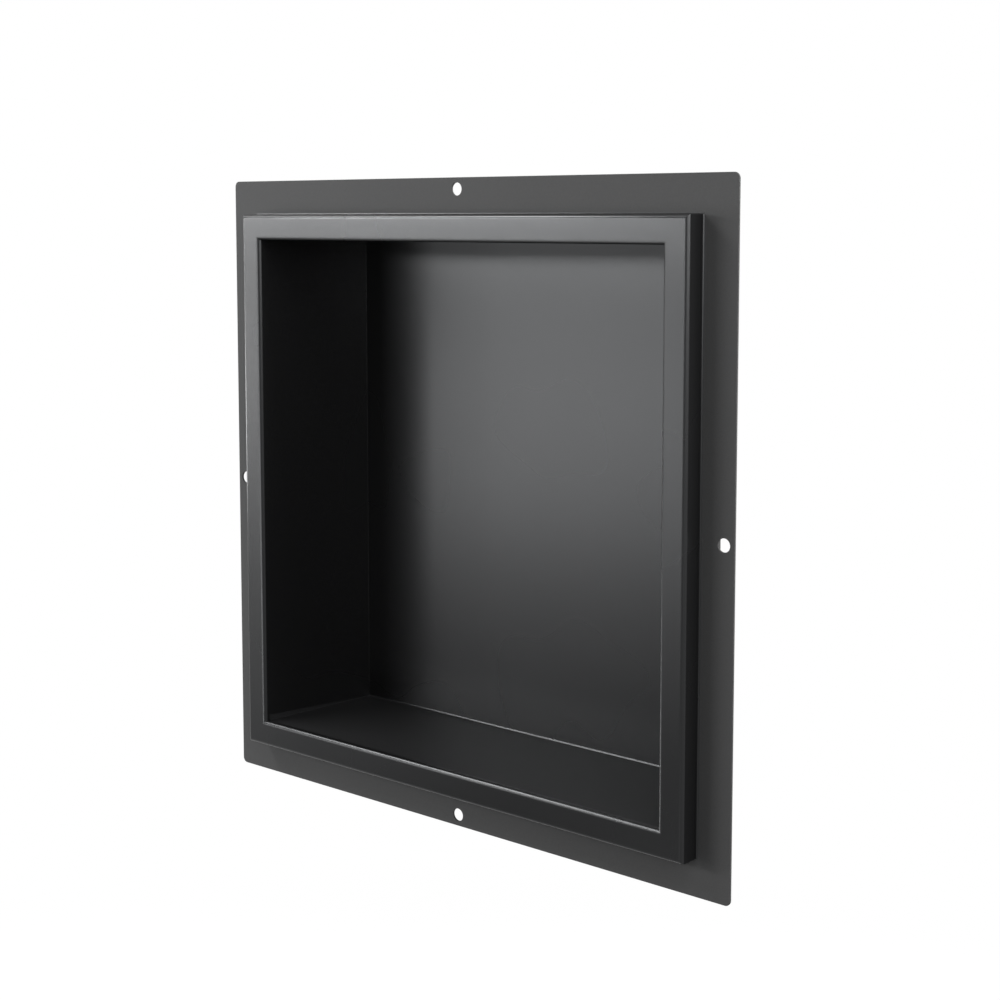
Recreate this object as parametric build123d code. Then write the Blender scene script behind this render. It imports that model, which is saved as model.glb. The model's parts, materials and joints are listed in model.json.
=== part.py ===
"""Shower niche insert: one metal sheet, folded and welded into a square recess with a raised rim.

From the middle outwards the sheet is back panel, recess walls, rim face, return walls and screw flange,
all of one thickness and joined by bends of one radius. The two side walls lean in towards the back
panel, the floor climbs a little so that water runs out, and the top is level. The corners are welded.

Millimetres. +Z is up, +X is to the right and +Y runs into the wall. The origin is the middle of the
four screw holes, on the back of the flange, which is the face that lies against the wall.
"""
import os

from build123d import *

# Driving dimensions
opening = 305.0        # width and height of the recess, where its walls would meet the rim face
depth = 78.0           # rim face to back panel, inside
side_lean = 16.0       # how far each side wall comes in between the rim face and the back panel
floor_rise = 3.6       # how far the floor climbs between the rim face and the back panel
rim_width = 15.5       # rim face, from the opening to the outside of the return wall
rim_height = 13.6      # rim face above the front of the flange
flange_width = 21.0    # flange, from the return wall to its outer edge
flange_corner = 3.3    # rounding of the flange's four corners
sheet = 1.2            # thickness of the metal
bend_inside = 1.2      # inside radius of every bend
weld_fillet = 1.2      # rounding of the welded corners
screw_hole = 7.4       # diameter of a screw hole
screw_edge = 6.6       # hole centre to the flange's outer edge

# Places that follow from them, measured out from the middle or along Y
SIDES = 4
SAME_PLACE = 0.001
bend_outside = bend_inside + sheet
return_outside = opening / 2 + rim_width
flange_edge = return_outside + flange_width
flange_front = -sheet
rim_face = flange_front - rim_height
rim_back = rim_face + sheet
back_inside = rim_face + depth
back_outside = back_inside + sheet
screw_circle = flange_edge - screw_edge


def slab(half, corner, front, back):
    """A square block about the middle with rounded corners, from one place along Y to another."""
    outline = RectangleRounded(2 * half, 2 * half, corner)
    return Plane.XZ.offset(-front) * extrude(outline, front - back)


def recess(grow):
    """The space between the recess walls, drawn from above and from the side, each face moved out by grow."""
    front = opening / 2
    back = front - side_lean
    floor = floor_rise - front
    from_above = [(-front, rim_face), (front, rim_face), (back, back_inside), (-back, back_inside)]
    from_side = [(rim_face, -front), (back_inside, floor), (back_inside, front), (rim_face, front)]
    views = [make_face(Polyline(*outline, close=True)) for outline in (from_above, from_side)]
    if grow:
        views = [offset(view, grow, kind=Kind.INTERSECTION) for view in views]
    above, side = views
    space = extrude(above, flange_edge, both=True) & extrude(Plane.YZ * side, flange_edge, both=True)
    corners = space.edges().filter_by(lambda edge: abs((edge % 0.5).Y) > 0.5)
    return fillet(corners, weld_fillet + grow)


def unbent_sheet():
    """The sheet with its corners welded and its fold lines still sharp."""
    walls = recess(sheet) & slab(flange_edge, flange_corner, rim_face, back_outside)
    flange = slab(flange_edge, flange_corner, flange_front, 0)
    rim = slab(return_outside, weld_fillet, rim_face, 0)
    behind_rim = slab(return_outside - sheet, weld_fillet, rim_back, 0) - walls
    return flange + rim - behind_rim + walls - recess(0)


def fold_lines(body, place):
    """The fold lines at one place along Y, without the flange's cut edge."""

    def at_place(edge):
        return all(abs((edge @ end).Y - place) < SAME_PLACE for end in (0, 1))

    def within_flange(edge):
        middle = edge.center()
        return max(abs(middle.X), abs(middle.Z)) < return_outside + SAME_PLACE

    return body.edges().filter_by(at_place).filter_by(within_flange)


def niche_body():
    """The whole insert: every fold line bent, inside before outside, and the flange drilled."""
    body = unbent_sheet()
    for place in (rim_back, flange_front, back_inside):
        body = fillet(fold_lines(body, place), bend_inside)
    for place in (rim_face, 0, back_outside):
        body = fillet(fold_lines(body, place), bend_outside)
    drill = Plane.XZ * PolarLocations(screw_circle, SIDES) * Cylinder(screw_hole / 2, 4 * sheet)
    return body - drill


os.makedirs("parts", exist_ok=True)
export_step(niche_body(), "parts/niche_body.step")
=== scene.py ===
"""Looks of the shower niche insert: one folded and welded sheet with a satin black coat, in a white studio.

Metres, in the part's own frame: +Z up, +X right, +Y into the wall, origin on the back of the flange.
"""
import json
import math

import bpy
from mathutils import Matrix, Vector


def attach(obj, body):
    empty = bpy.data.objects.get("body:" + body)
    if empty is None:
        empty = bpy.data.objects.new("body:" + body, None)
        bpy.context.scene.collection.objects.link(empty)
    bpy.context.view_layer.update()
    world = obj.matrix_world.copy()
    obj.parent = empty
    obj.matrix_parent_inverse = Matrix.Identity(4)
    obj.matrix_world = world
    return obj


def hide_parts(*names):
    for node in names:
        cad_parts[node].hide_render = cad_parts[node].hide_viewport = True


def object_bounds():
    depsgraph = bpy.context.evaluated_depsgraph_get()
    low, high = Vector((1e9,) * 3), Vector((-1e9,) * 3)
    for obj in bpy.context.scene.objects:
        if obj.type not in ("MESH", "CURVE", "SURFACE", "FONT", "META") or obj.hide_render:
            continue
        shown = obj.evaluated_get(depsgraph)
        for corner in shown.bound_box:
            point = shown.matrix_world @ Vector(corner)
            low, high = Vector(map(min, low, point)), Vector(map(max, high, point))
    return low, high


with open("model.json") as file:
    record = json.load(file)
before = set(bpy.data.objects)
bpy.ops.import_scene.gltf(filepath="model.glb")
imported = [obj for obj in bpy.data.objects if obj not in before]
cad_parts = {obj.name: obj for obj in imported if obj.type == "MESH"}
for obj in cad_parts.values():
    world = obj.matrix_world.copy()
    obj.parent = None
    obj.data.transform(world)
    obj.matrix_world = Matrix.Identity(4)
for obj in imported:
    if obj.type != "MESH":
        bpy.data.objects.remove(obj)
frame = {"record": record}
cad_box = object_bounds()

MM = 0.001

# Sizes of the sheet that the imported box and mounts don't give
SHEET = 1.2 * MM           # thickness of the metal
BEND_INSIDE = 1.2 * MM     # inside radius of every bend
OPENING = 305 * MM         # width and height of the recess at the rim face
SIDE_LEAN = 16 * MM        # how far each side wall comes in towards the back panel
FLOOR_RISE = 3.6 * MM      # how far the niche floor climbs towards the back panel
RIM_WIDTH = 15.5 * MM      # rim face, from the opening to the outside of the return wall
LIP_REACH = 2.2 * MM       # bend at the opening, from its fold line to where the flats start
FLANGE_CORNER = 3.3 * MM   # rounding of the flange's corners
EDGE = 0.35 * MM           # rounding that the coat gives cut edges and welded corners

# Fineness of the mesh
BEND_STEPS = 12            # straight steps in an outside bend
INSIDE_STEPS = 8           # straight steps in an inside bend
CORNER_STEPS = 8           # straight steps in a flange corner
HOLE_STEPS = 64            # straight steps round a screw hole
EDGE_STEPS = 2             # straight steps across a rounded edge
ROUNDED_TURN = math.radians(50)   # an edge that turns by more than this is rounded by the coat
CRISP_TURN = math.radians(35)     # an edge that turns by more than this is shaded as a crisp line
SAME_PLACE = 0.01 * MM     # lengths that differ by less than this count as the same

# Places that follow from the frame
low, high = cad_box
flange_edge = high.x
rim_face = low.y
back_inside = high.y - SHEET
flange_front = -SHEET
mouth = OPENING / 2
return_outside = mouth + RIM_WIDTH
bend_outside = BEND_INSIDE + SHEET
floor_at_back = FLOOR_RISE - mouth
screws = next(m for m in frame["record"]["mounts"] if m["name"] == "screw_holes")["dims"]
screw_circle = screws["pcd_mm"] / 2 * MM
screw_radius = screws["hole_r_mm"] * MM

# Tools that shape the sheet
FACING_ROOM = (math.pi / 2, 0, 0)   # turns a primitive that faces up so that it faces the room
PUNCH_DEPTH = 4 * SHEET             # well through the flange

# Coat
COAT_BLACK = (0.0027, 0.0027, 0.0028, 1)
FLANGE_GREY = (0.0212, 0.0211, 0.021, 1)
COAT_ROUGHNESS = 0.27
FLOOR_ROUGHNESS = 0.5      # niche floor
FLANGE_ROUGHNESS = 0.82
COAT_GLOSS = 0.26
COAT_SHEEN_TINT = (0.955, 0.975, 1.0, 1)
FLANGE_START = 0.4 * BEND_INSIDE    # how far into its bend the flange's grey starts
FLOOR_BLEND = 0.5 * MM     # height over which the niche floor's dullness ends
SIDE_BLEND = 1 * MM        # width over which it ends at the side walls
GRAIN_SIZE = 0.7 * MM      # fine grain of the powder
GRAIN_DEPTH = 0.02 * MM
GRAIN_SHADE = 0.25         # share by which a grain is lighter or darker
PEEL_SIZE = 4.5 * MM       # shallow waves where the powder flowed together
PEEL_DEPTH = 0.012 * MM
DRIFT_SIZE = 90 * MM       # wide patches that are a little duller or shinier
DRIFT_ROUGHNESS = 0.02

# Room and floor of the studio
WHITE = (1, 1, 1, 1)
FILL_LEVEL = 0.3           # light from the room itself, where 1 is as bright as it looks
FLOOR_SIZE = 12
FLOOR_DROP = 0.35          # gap between the part and the floor
FLOOR_GREY = (0.2, 0.2, 0.2, 1)
FLOOR_WASH = 0.6           # white that is added to the floor near the part
FADE_START = 0.35          # distance from the middle where the floor starts to fade to white
FADE_END = 0.9             # distance where it is all white

# Dark mat on the floor, in front on the left, which the lower rim mirrors
MAT_GREY = (0.03, 0.03, 0.03, 1)
MAT_BEARING = -37          # degrees from straight ahead to its middle, to the right is plus
MAT_OUTER_TURN = math.radians(17)   # from its middle to where it ends
MAT_INNER_TURN = math.radians(13)   # from its middle to where it starts to fade
MAT_NEAR_EDGE = (0.78, 0.9)         # distances from no mat to full mat
MAT_FAR_EDGE = (1.6, 1.25)

# Lamps and camera
WATTS_AT_BRIGHTNESS_1 = 4  # for one square metre of lamp
SENSOR_MM = 36
LENS_MM = 63.168
LENS_SHIFT = -0.11
CAMERA_PLACE = (0.6689, -0.7452, 0.1661)
CAMERA_PITCH = 5.601       # degrees that it looks down
CAMERA_TURN = 40.546       # degrees that it looks to the left


def start_clean():
    """Nothing selected, so that the next operator acts on the new piece alone."""
    bpy.ops.object.select_all(action="DESELECT")


def apply_modifier(piece, kind, **settings):
    """Adds a modifier to the piece, sets it and applies it."""
    bpy.context.view_layer.objects.active = piece
    modifier = piece.modifiers.new(kind.lower(), kind)
    for name, value in settings.items():
        setattr(modifier, name, value)
    bpy.ops.object.modifier_apply(modifier=modifier.name)


# The folded sheet

def outward(place):
    """How far a place is from the middle, across or up, whichever is more."""
    return max(abs(place.x), abs(place.z))


def same(first, second):
    """Whether two lengths are the same."""
    return abs(first - second) < SAME_PLACE


def choose_edges(piece, test):
    """Goes into edit mode with only the edges selected whose two ends pass the test together."""
    bpy.context.view_layer.objects.active = piece
    bpy.ops.object.mode_set(mode="EDIT")
    bpy.ops.mesh.select_mode(type="EDGE")
    bpy.ops.mesh.select_all(action="DESELECT")
    bpy.ops.object.mode_set(mode="OBJECT")
    places = [vertex.co for vertex in piece.data.vertices]
    for edge in piece.data.edges:
        first, second = edge.vertices
        edge.select = test(places[first], places[second])
    bpy.ops.object.mode_set(mode="EDIT")


def round_edges(piece, test, reach, steps):
    """Rounds the edges whose ends pass the test, starting at a reach from the sharp line."""
    choose_edges(piece, test)
    bpy.ops.mesh.bevel(affect="EDGES", offset=reach, segments=steps)
    bpy.ops.object.mode_set(mode="OBJECT")


def fold_line(y, half):
    """A test for the edges of the square fold line at this place along Y and this far from the middle."""
    return lambda *ends: all(same(end.y, y) and same(outward(end), half) for end in ends)


def level_fold(y):
    """A test for the level edges at this place along Y: the upright ones there are welded."""
    return lambda *ends: all(same(end.y, y) for end in ends) and same(ends[0].z, ends[1].z)


def sharp_sheet():
    """The flange blank, drawn in to the return walls, raised to the rim and sunk to the back panel."""
    start_clean()
    middle_of_flange = (0, flange_front, 0)
    bpy.ops.mesh.primitive_plane_add(size=2 * flange_edge, location=middle_of_flange, rotation=FACING_ROOM)
    sheet = bpy.context.object
    sheet.name = sheet.data.name = "folded_sheet"
    bpy.ops.object.transform_apply(location=True, rotation=True, scale=True)
    # Half width, half height, place along Y and height of the middle, fold by fold
    outlines = [
        (return_outside, return_outside, flange_front, 0),
        (return_outside, return_outside, rim_face, 0),
        (mouth, mouth, rim_face, 0),
        (mouth - SIDE_LEAN, mouth - FLOOR_RISE / 2, back_inside, FLOOR_RISE / 2),
    ]
    bpy.ops.object.mode_set(mode="EDIT")
    bpy.ops.mesh.select_mode(type="FACE")
    bpy.ops.mesh.select_all(action="SELECT")
    wide, tall, y, middle = flange_edge, flange_edge, flange_front, 0
    for next_wide, next_tall, next_y, next_middle in outlines:
        step = (0, next_y - y, next_middle - middle)
        stretch = (next_wide / wide, 1, next_tall / tall)
        bpy.ops.mesh.extrude_region_move(TRANSFORM_OT_translate={"value": step})
        bpy.ops.transform.resize(value=stretch, center_override=(0, next_y, next_middle))
        wide, tall, y, middle = next_wide, next_tall, next_y, next_middle
    remove_blank(sheet)
    return sheet


def remove_blank(sheet):
    """Takes away the flat blank that the first extrusion leaves, the one face that looks back."""
    bpy.ops.mesh.select_all(action="DESELECT")
    bpy.ops.object.mode_set(mode="OBJECT")
    for face in sheet.data.polygons:
        face.select = face.normal.y > 0.5
    bpy.ops.object.mode_set(mode="EDIT")
    bpy.ops.mesh.delete(type="ONLY_FACE")
    bpy.ops.object.mode_set(mode="OBJECT")


def cut_with(sheet, tool, operation):
    """Cuts the sheet with a tool piece, which is then thrown away."""
    start_clean()
    apply_modifier(sheet, "BOOLEAN", operation=operation, solver="EXACT", object=tool)
    bpy.data.objects.remove(tool)


def round_flange(sheet):
    """Rounds the flange's four corners with a block that has the flange's outline."""
    start_clean()
    bpy.ops.mesh.primitive_cube_add(size=2 * flange_edge, location=(0, 0, 0))
    block = bpy.context.object
    round_edges(block, lambda first, second: not same(first.y, second.y), FLANGE_CORNER, CORNER_STEPS)
    cut_with(sheet, block, "INTERSECT")


def punch_screw_holes(sheet):
    """Four round holes, one in the middle of each side of the flange."""
    for turn in range(4):
        angle = turn * math.pi / 2
        place = (screw_circle * math.cos(angle), flange_front / 2, screw_circle * math.sin(angle))
        start_clean()
        bpy.ops.mesh.primitive_cylinder_add(
            vertices=HOLE_STEPS, radius=screw_radius, depth=PUNCH_DEPTH, location=place, rotation=FACING_ROOM)
        cut_with(sheet, bpy.context.object, "DIFFERENCE")


def niche_sheet():
    """The whole insert, ready to ride."""
    sheet = sharp_sheet()
    round_edges(sheet, level_fold(back_inside), BEND_INSIDE, INSIDE_STEPS)
    round_edges(sheet, fold_line(rim_face, mouth), LIP_REACH, BEND_STEPS)
    round_edges(sheet, fold_line(rim_face, return_outside), bend_outside, BEND_STEPS)
    round_edges(sheet, fold_line(flange_front, return_outside), BEND_INSIDE, INSIDE_STEPS)
    apply_modifier(sheet, "SOLIDIFY", thickness=SHEET, offset=-1, use_even_offset=True)
    round_flange(sheet)
    punch_screw_holes(sheet)
    apply_modifier(
        sheet, "BEVEL", width=EDGE, segments=EDGE_STEPS, limit_method="ANGLE", angle_limit=ROUNDED_TURN)
    start_clean()
    sheet.select_set(True)
    bpy.context.view_layer.objects.active = sheet
    bpy.ops.object.shade_smooth_by_angle(angle=CRISP_TURN)
    apply_modifier(sheet, "WEIGHTED_NORMAL", mode="FACE_AREA", weight=100, keep_sharp=True)
    sheet.data.materials.clear()
    sheet.data.materials.append(satin_black_coat())
    return sheet


# Nodes that the finishes are made of

def add_node(tree, kind, inputs=None, **settings):
    """A new node of this kind, with its inputs set to a value or joined to another node's output."""
    node = tree.nodes.new(kind)
    for name, value in settings.items():
        setattr(node, name, value)
    for name, value in (inputs or {}).items():
        if isinstance(value, bpy.types.NodeSocket):
            tree.links.new(value, node.inputs[name])
        else:
            node.inputs[name].default_value = value
    return node


def calculate(tree, operation, first, second=0.0):
    """The output of a maths node."""
    return add_node(tree, "ShaderNodeMath", {0: first, 1: second}, operation=operation).outputs[0]


def speckle(tree, place, size, detail):
    """Noise whose grains are about this size, as a value from 0 to 1."""
    inputs = {"Vector": place, "Scale": 1 / size, "Detail": detail}
    return add_node(tree, "ShaderNodeTexNoise", inputs).outputs["Fac"]


def soft_step(tree, value, start, end):
    """0 up to start and 1 from end on, with a smooth change between. Start may be the larger one."""
    inputs = {"Value": value, "From Min": start, "From Max": end}
    return add_node(tree, "ShaderNodeMapRange", inputs, interpolation_type="SMOOTHSTEP").outputs["Result"]


def spread(tree, value, least, most):
    """A value from 0 to 1, spread from least to most."""
    inputs = {"Value": value, "To Min": least, "To Max": most}
    return add_node(tree, "ShaderNodeMapRange", inputs).outputs["Result"]


def blend(tree, factor, first, second, kind="FLOAT"):
    """The first number or colour where the factor is 0, and the second where it is 1."""
    inputs = {"Factor": factor, "A": first, "B": second}
    return add_node(tree, "ShaderNodeMix", inputs, data_type=kind).outputs["Result"]


def seen_white(tree, hidden_level):
    """Strength 1 for rays that show the background, and hidden_level for rays that only carry light."""
    rays = add_node(tree, "ShaderNodeLightPath").outputs
    shown = calculate(tree, "MAXIMUM", rays["Is Camera Ray"], rays["Is Glossy Ray"])
    shown = calculate(tree, "MAXIMUM", shown, rays["Is Transmission Ray"])
    return spread(tree, shown, hidden_level, 1.0)


# Finishes

def satin_black_coat():
    """Black powder coat: satin on the folded faces, dull and greyer on the flange that tile covers."""
    material = bpy.data.materials.new("satin_black_coat")
    material.use_nodes = True
    tree = material.node_tree
    shader = tree.nodes["Principled BSDF"]
    place = add_node(tree, "ShaderNodeTexCoord").outputs["Object"]
    axes = add_node(tree, "ShaderNodeSeparateXYZ", {"Vector": place}).outputs
    across = calculate(tree, "ABSOLUTE", axes["X"])
    half = calculate(tree, "MAXIMUM", across, calculate(tree, "ABSOLUTE", axes["Z"]))
    flange = soft_step(tree, half, return_outside + FLANGE_START, return_outside + BEND_INSIDE)

    grain = speckle(tree, place, GRAIN_SIZE, detail=2.0)
    peel = speckle(tree, place, PEEL_SIZE, detail=2.0)
    drift = speckle(tree, place, DRIFT_SIZE, detail=1.0)

    shade = blend(tree, flange, COAT_BLACK, FLANGE_GREY, kind="RGBA")
    lift = spread(tree, grain, 1 - GRAIN_SHADE, 1 + GRAIN_SHADE)
    colour = add_node(tree, "ShaderNodeVectorMath", {0: shade, "Scale": lift}, operation="SCALE")
    tree.links.new(colour.outputs["Vector"], shader.inputs["Base Color"])

    low_down = soft_step(tree, axes["Z"], floor_at_back + FLOOR_BLEND, floor_at_back)
    far_in = soft_step(tree, axes["Y"], rim_face + bend_outside, rim_face + 2 * bend_outside)
    inside = soft_step(tree, across, mouth, mouth - SIDE_BLEND)
    on_floor = calculate(tree, "MULTIPLY", calculate(tree, "MULTIPLY", low_down, far_in), inside)
    folded = blend(tree, on_floor, COAT_ROUGHNESS, FLOOR_ROUGHNESS)
    dull = blend(tree, flange, folded, FLANGE_ROUGHNESS)
    uneven = spread(tree, drift, -DRIFT_ROUGHNESS, DRIFT_ROUGHNESS)
    tree.links.new(calculate(tree, "ADD", dull, uneven), shader.inputs["Roughness"])

    fine = add_node(tree, "ShaderNodeBump", {"Height": grain, "Strength": 1.0, "Distance": GRAIN_DEPTH})
    coarse = add_node(tree, "ShaderNodeBump", {
        "Height": peel, "Strength": 1.0, "Distance": PEEL_DEPTH, "Normal": fine.outputs["Normal"]})
    tree.links.new(coarse.outputs["Normal"], shader.inputs["Normal"])
    shader.inputs["Specular IOR Level"].default_value = COAT_GLOSS
    shader.inputs["Specular Tint"].default_value = COAT_SHEEN_TINT
    return material


def mat_outline(tree, place, distance):
    """1 on the mat and 0 off it: a short stretch of a ring round the part."""
    bearing = add_node(tree, "ShaderNodeVectorMath", {0: place}, operation="NORMALIZE").outputs["Vector"]
    middle = polar(MAT_BEARING, 0, 1)
    ahead = add_node(tree, "ShaderNodeVectorMath", {0: bearing, 1: middle}, operation="DOT_PRODUCT")
    turned = soft_step(tree, ahead.outputs["Value"], math.cos(MAT_OUTER_TURN), math.cos(MAT_INNER_TURN))
    near = soft_step(tree, distance, *MAT_NEAR_EDGE)
    far = soft_step(tree, distance, *MAT_FAR_EDGE)
    reach = calculate(tree, "MULTIPLY", near, far)
    return calculate(tree, "MULTIPLY", turned, reach)


def pale_floor():
    """Pale near the part, white further out, and dark on the mat."""
    material = bpy.data.materials.new("pale_floor")
    material.use_nodes = True
    tree = material.node_tree
    tree.nodes.remove(tree.nodes["Principled BSDF"])
    place = add_node(tree, "ShaderNodeTexCoord").outputs["Object"]
    distance = add_node(tree, "ShaderNodeVectorMath", {0: place}, operation="LENGTH").outputs["Value"]

    shown = seen_white(tree, 0.0)
    matt = add_node(tree, "ShaderNodeBsdfDiffuse", {"Color": FLOOR_GREY})
    wash = add_node(tree, "ShaderNodeEmission", {"Strength": calculate(tree, "MULTIPLY", shown, FLOOR_WASH)})
    near = add_node(tree, "ShaderNodeAddShader", {0: matt.outputs[0], 1: wash.outputs[0]})
    far = add_node(tree, "ShaderNodeEmission", {"Strength": shown})
    fade = soft_step(tree, distance, FADE_START, FADE_END)
    around = add_node(tree, "ShaderNodeMixShader", {0: fade, 1: near.outputs[0], 2: far.outputs[0]})

    mat = add_node(tree, "ShaderNodeBsdfDiffuse", {"Color": MAT_GREY})
    on_mat = mat_outline(tree, place, distance)
    surface = add_node(tree, "ShaderNodeMixShader", {0: on_mat, 1: around.outputs[0], 2: mat.outputs[0]})
    tree.links.new(surface.outputs[0], tree.nodes["Material Output"].inputs["Surface"])
    return material


# Studio

def polar(azimuth, elevation, distance):
    """A place seen from the part: azimuth 0 is straight in front, to the right is plus."""
    turn = math.radians(azimuth)
    rise = math.radians(elevation)
    flat = distance * math.cos(rise)
    return (flat * math.sin(turn), -flat * math.cos(turn), distance * math.sin(rise))


def white_room():
    """White all round where it shows, and a soft even fill where it lights."""
    world = bpy.data.worlds.new("white_room")
    bpy.context.scene.world = world
    world.use_nodes = True
    tree = world.node_tree
    background = tree.nodes["Background"]
    background.inputs["Color"].default_value = WHITE
    tree.links.new(seen_white(tree, FILL_LEVEL), background.inputs["Strength"])


def studio_floor():
    """A floor well below the part, which fades into the white room."""
    start_clean()
    bpy.ops.mesh.primitive_plane_add(size=FLOOR_SIZE, location=(0, 0, low.z - FLOOR_DROP))
    floor = bpy.context.object
    floor.name = "studio_floor"
    floor.data.materials.append(pale_floor())
    return floor


def softbox(name, place, width, height, brightness, aim=(0, 0, 0)):
    """An even rectangular lamp that faces its aim, with the brightness that a mirror would show."""
    lamp = bpy.data.lights.new(name, "AREA")
    lamp.shape = "RECTANGLE"
    lamp.size = width
    lamp.size_y = height
    lamp.energy = WATTS_AT_BRIGHTNESS_1 * width * height * brightness
    holder = bpy.data.objects.new(name, lamp)
    bpy.context.scene.collection.objects.link(holder)
    holder.location = place
    holder.rotation_euler = (Vector(aim) - Vector(place)).to_track_quat("-Z", "Y").to_euler()


def studio_lamps():
    """A bright strip and three dimmer lamps from the left, three boxes from the right and one behind."""
    softbox("high_strip", polar(azimuth=-42, elevation=12, distance=1.7),
            width=1.0, height=0.134, brightness=51)
    softbox("side_softbox", polar(azimuth=-66, elevation=-1.2, distance=1.7),
            width=0.48, height=0.33, brightness=19)
    softbox("front_strip", polar(azimuth=-36, elevation=-5.5, distance=1.7),
            width=0.7, height=0.34, brightness=5.4)
    softbox("left_softbox", polar(azimuth=-58, elevation=42, distance=1.7),
            width=0.95, height=0.4, brightness=20)
    softbox("right_softbox", polar(azimuth=68, elevation=16, distance=1.25),
            width=1.5, height=0.5, brightness=5, aim=(0.15, 0, 0.05))
    softbox("right_top_softbox", polar(azimuth=55, elevation=50, distance=1.4),
            width=0.8, height=0.6, brightness=8, aim=(0.1, 0, 0))
    softbox("edge_softbox", polar(azimuth=98, elevation=30, distance=1.1),
            width=0.4, height=0.5, brightness=36, aim=(0.15, 0, 0.1))
    softbox("back_softbox", polar(azimuth=135, elevation=10, distance=1.8),
            width=1.0, height=0.7, brightness=6)


def camera():
    """Seen from the right and a little above, with the lens shifted down as the picture's framing is."""
    lens = bpy.data.cameras.new("camera")
    lens.sensor_width = SENSOR_MM
    lens.lens = LENS_MM
    lens.shift_y = LENS_SHIFT
    holder = bpy.data.objects.new("camera", lens)
    bpy.context.scene.collection.objects.link(holder)
    holder.location = CAMERA_PLACE
    holder.rotation_euler = (math.radians(90 - CAMERA_PITCH), 0, math.radians(CAMERA_TURN))
    bpy.context.scene.camera = holder


niche = niche_sheet()
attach(niche, "root")
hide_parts("niche_body")

white_room()
studio_floor()
studio_lamps()
camera()
bpy.context.scene.view_settings.view_transform = "Standard"
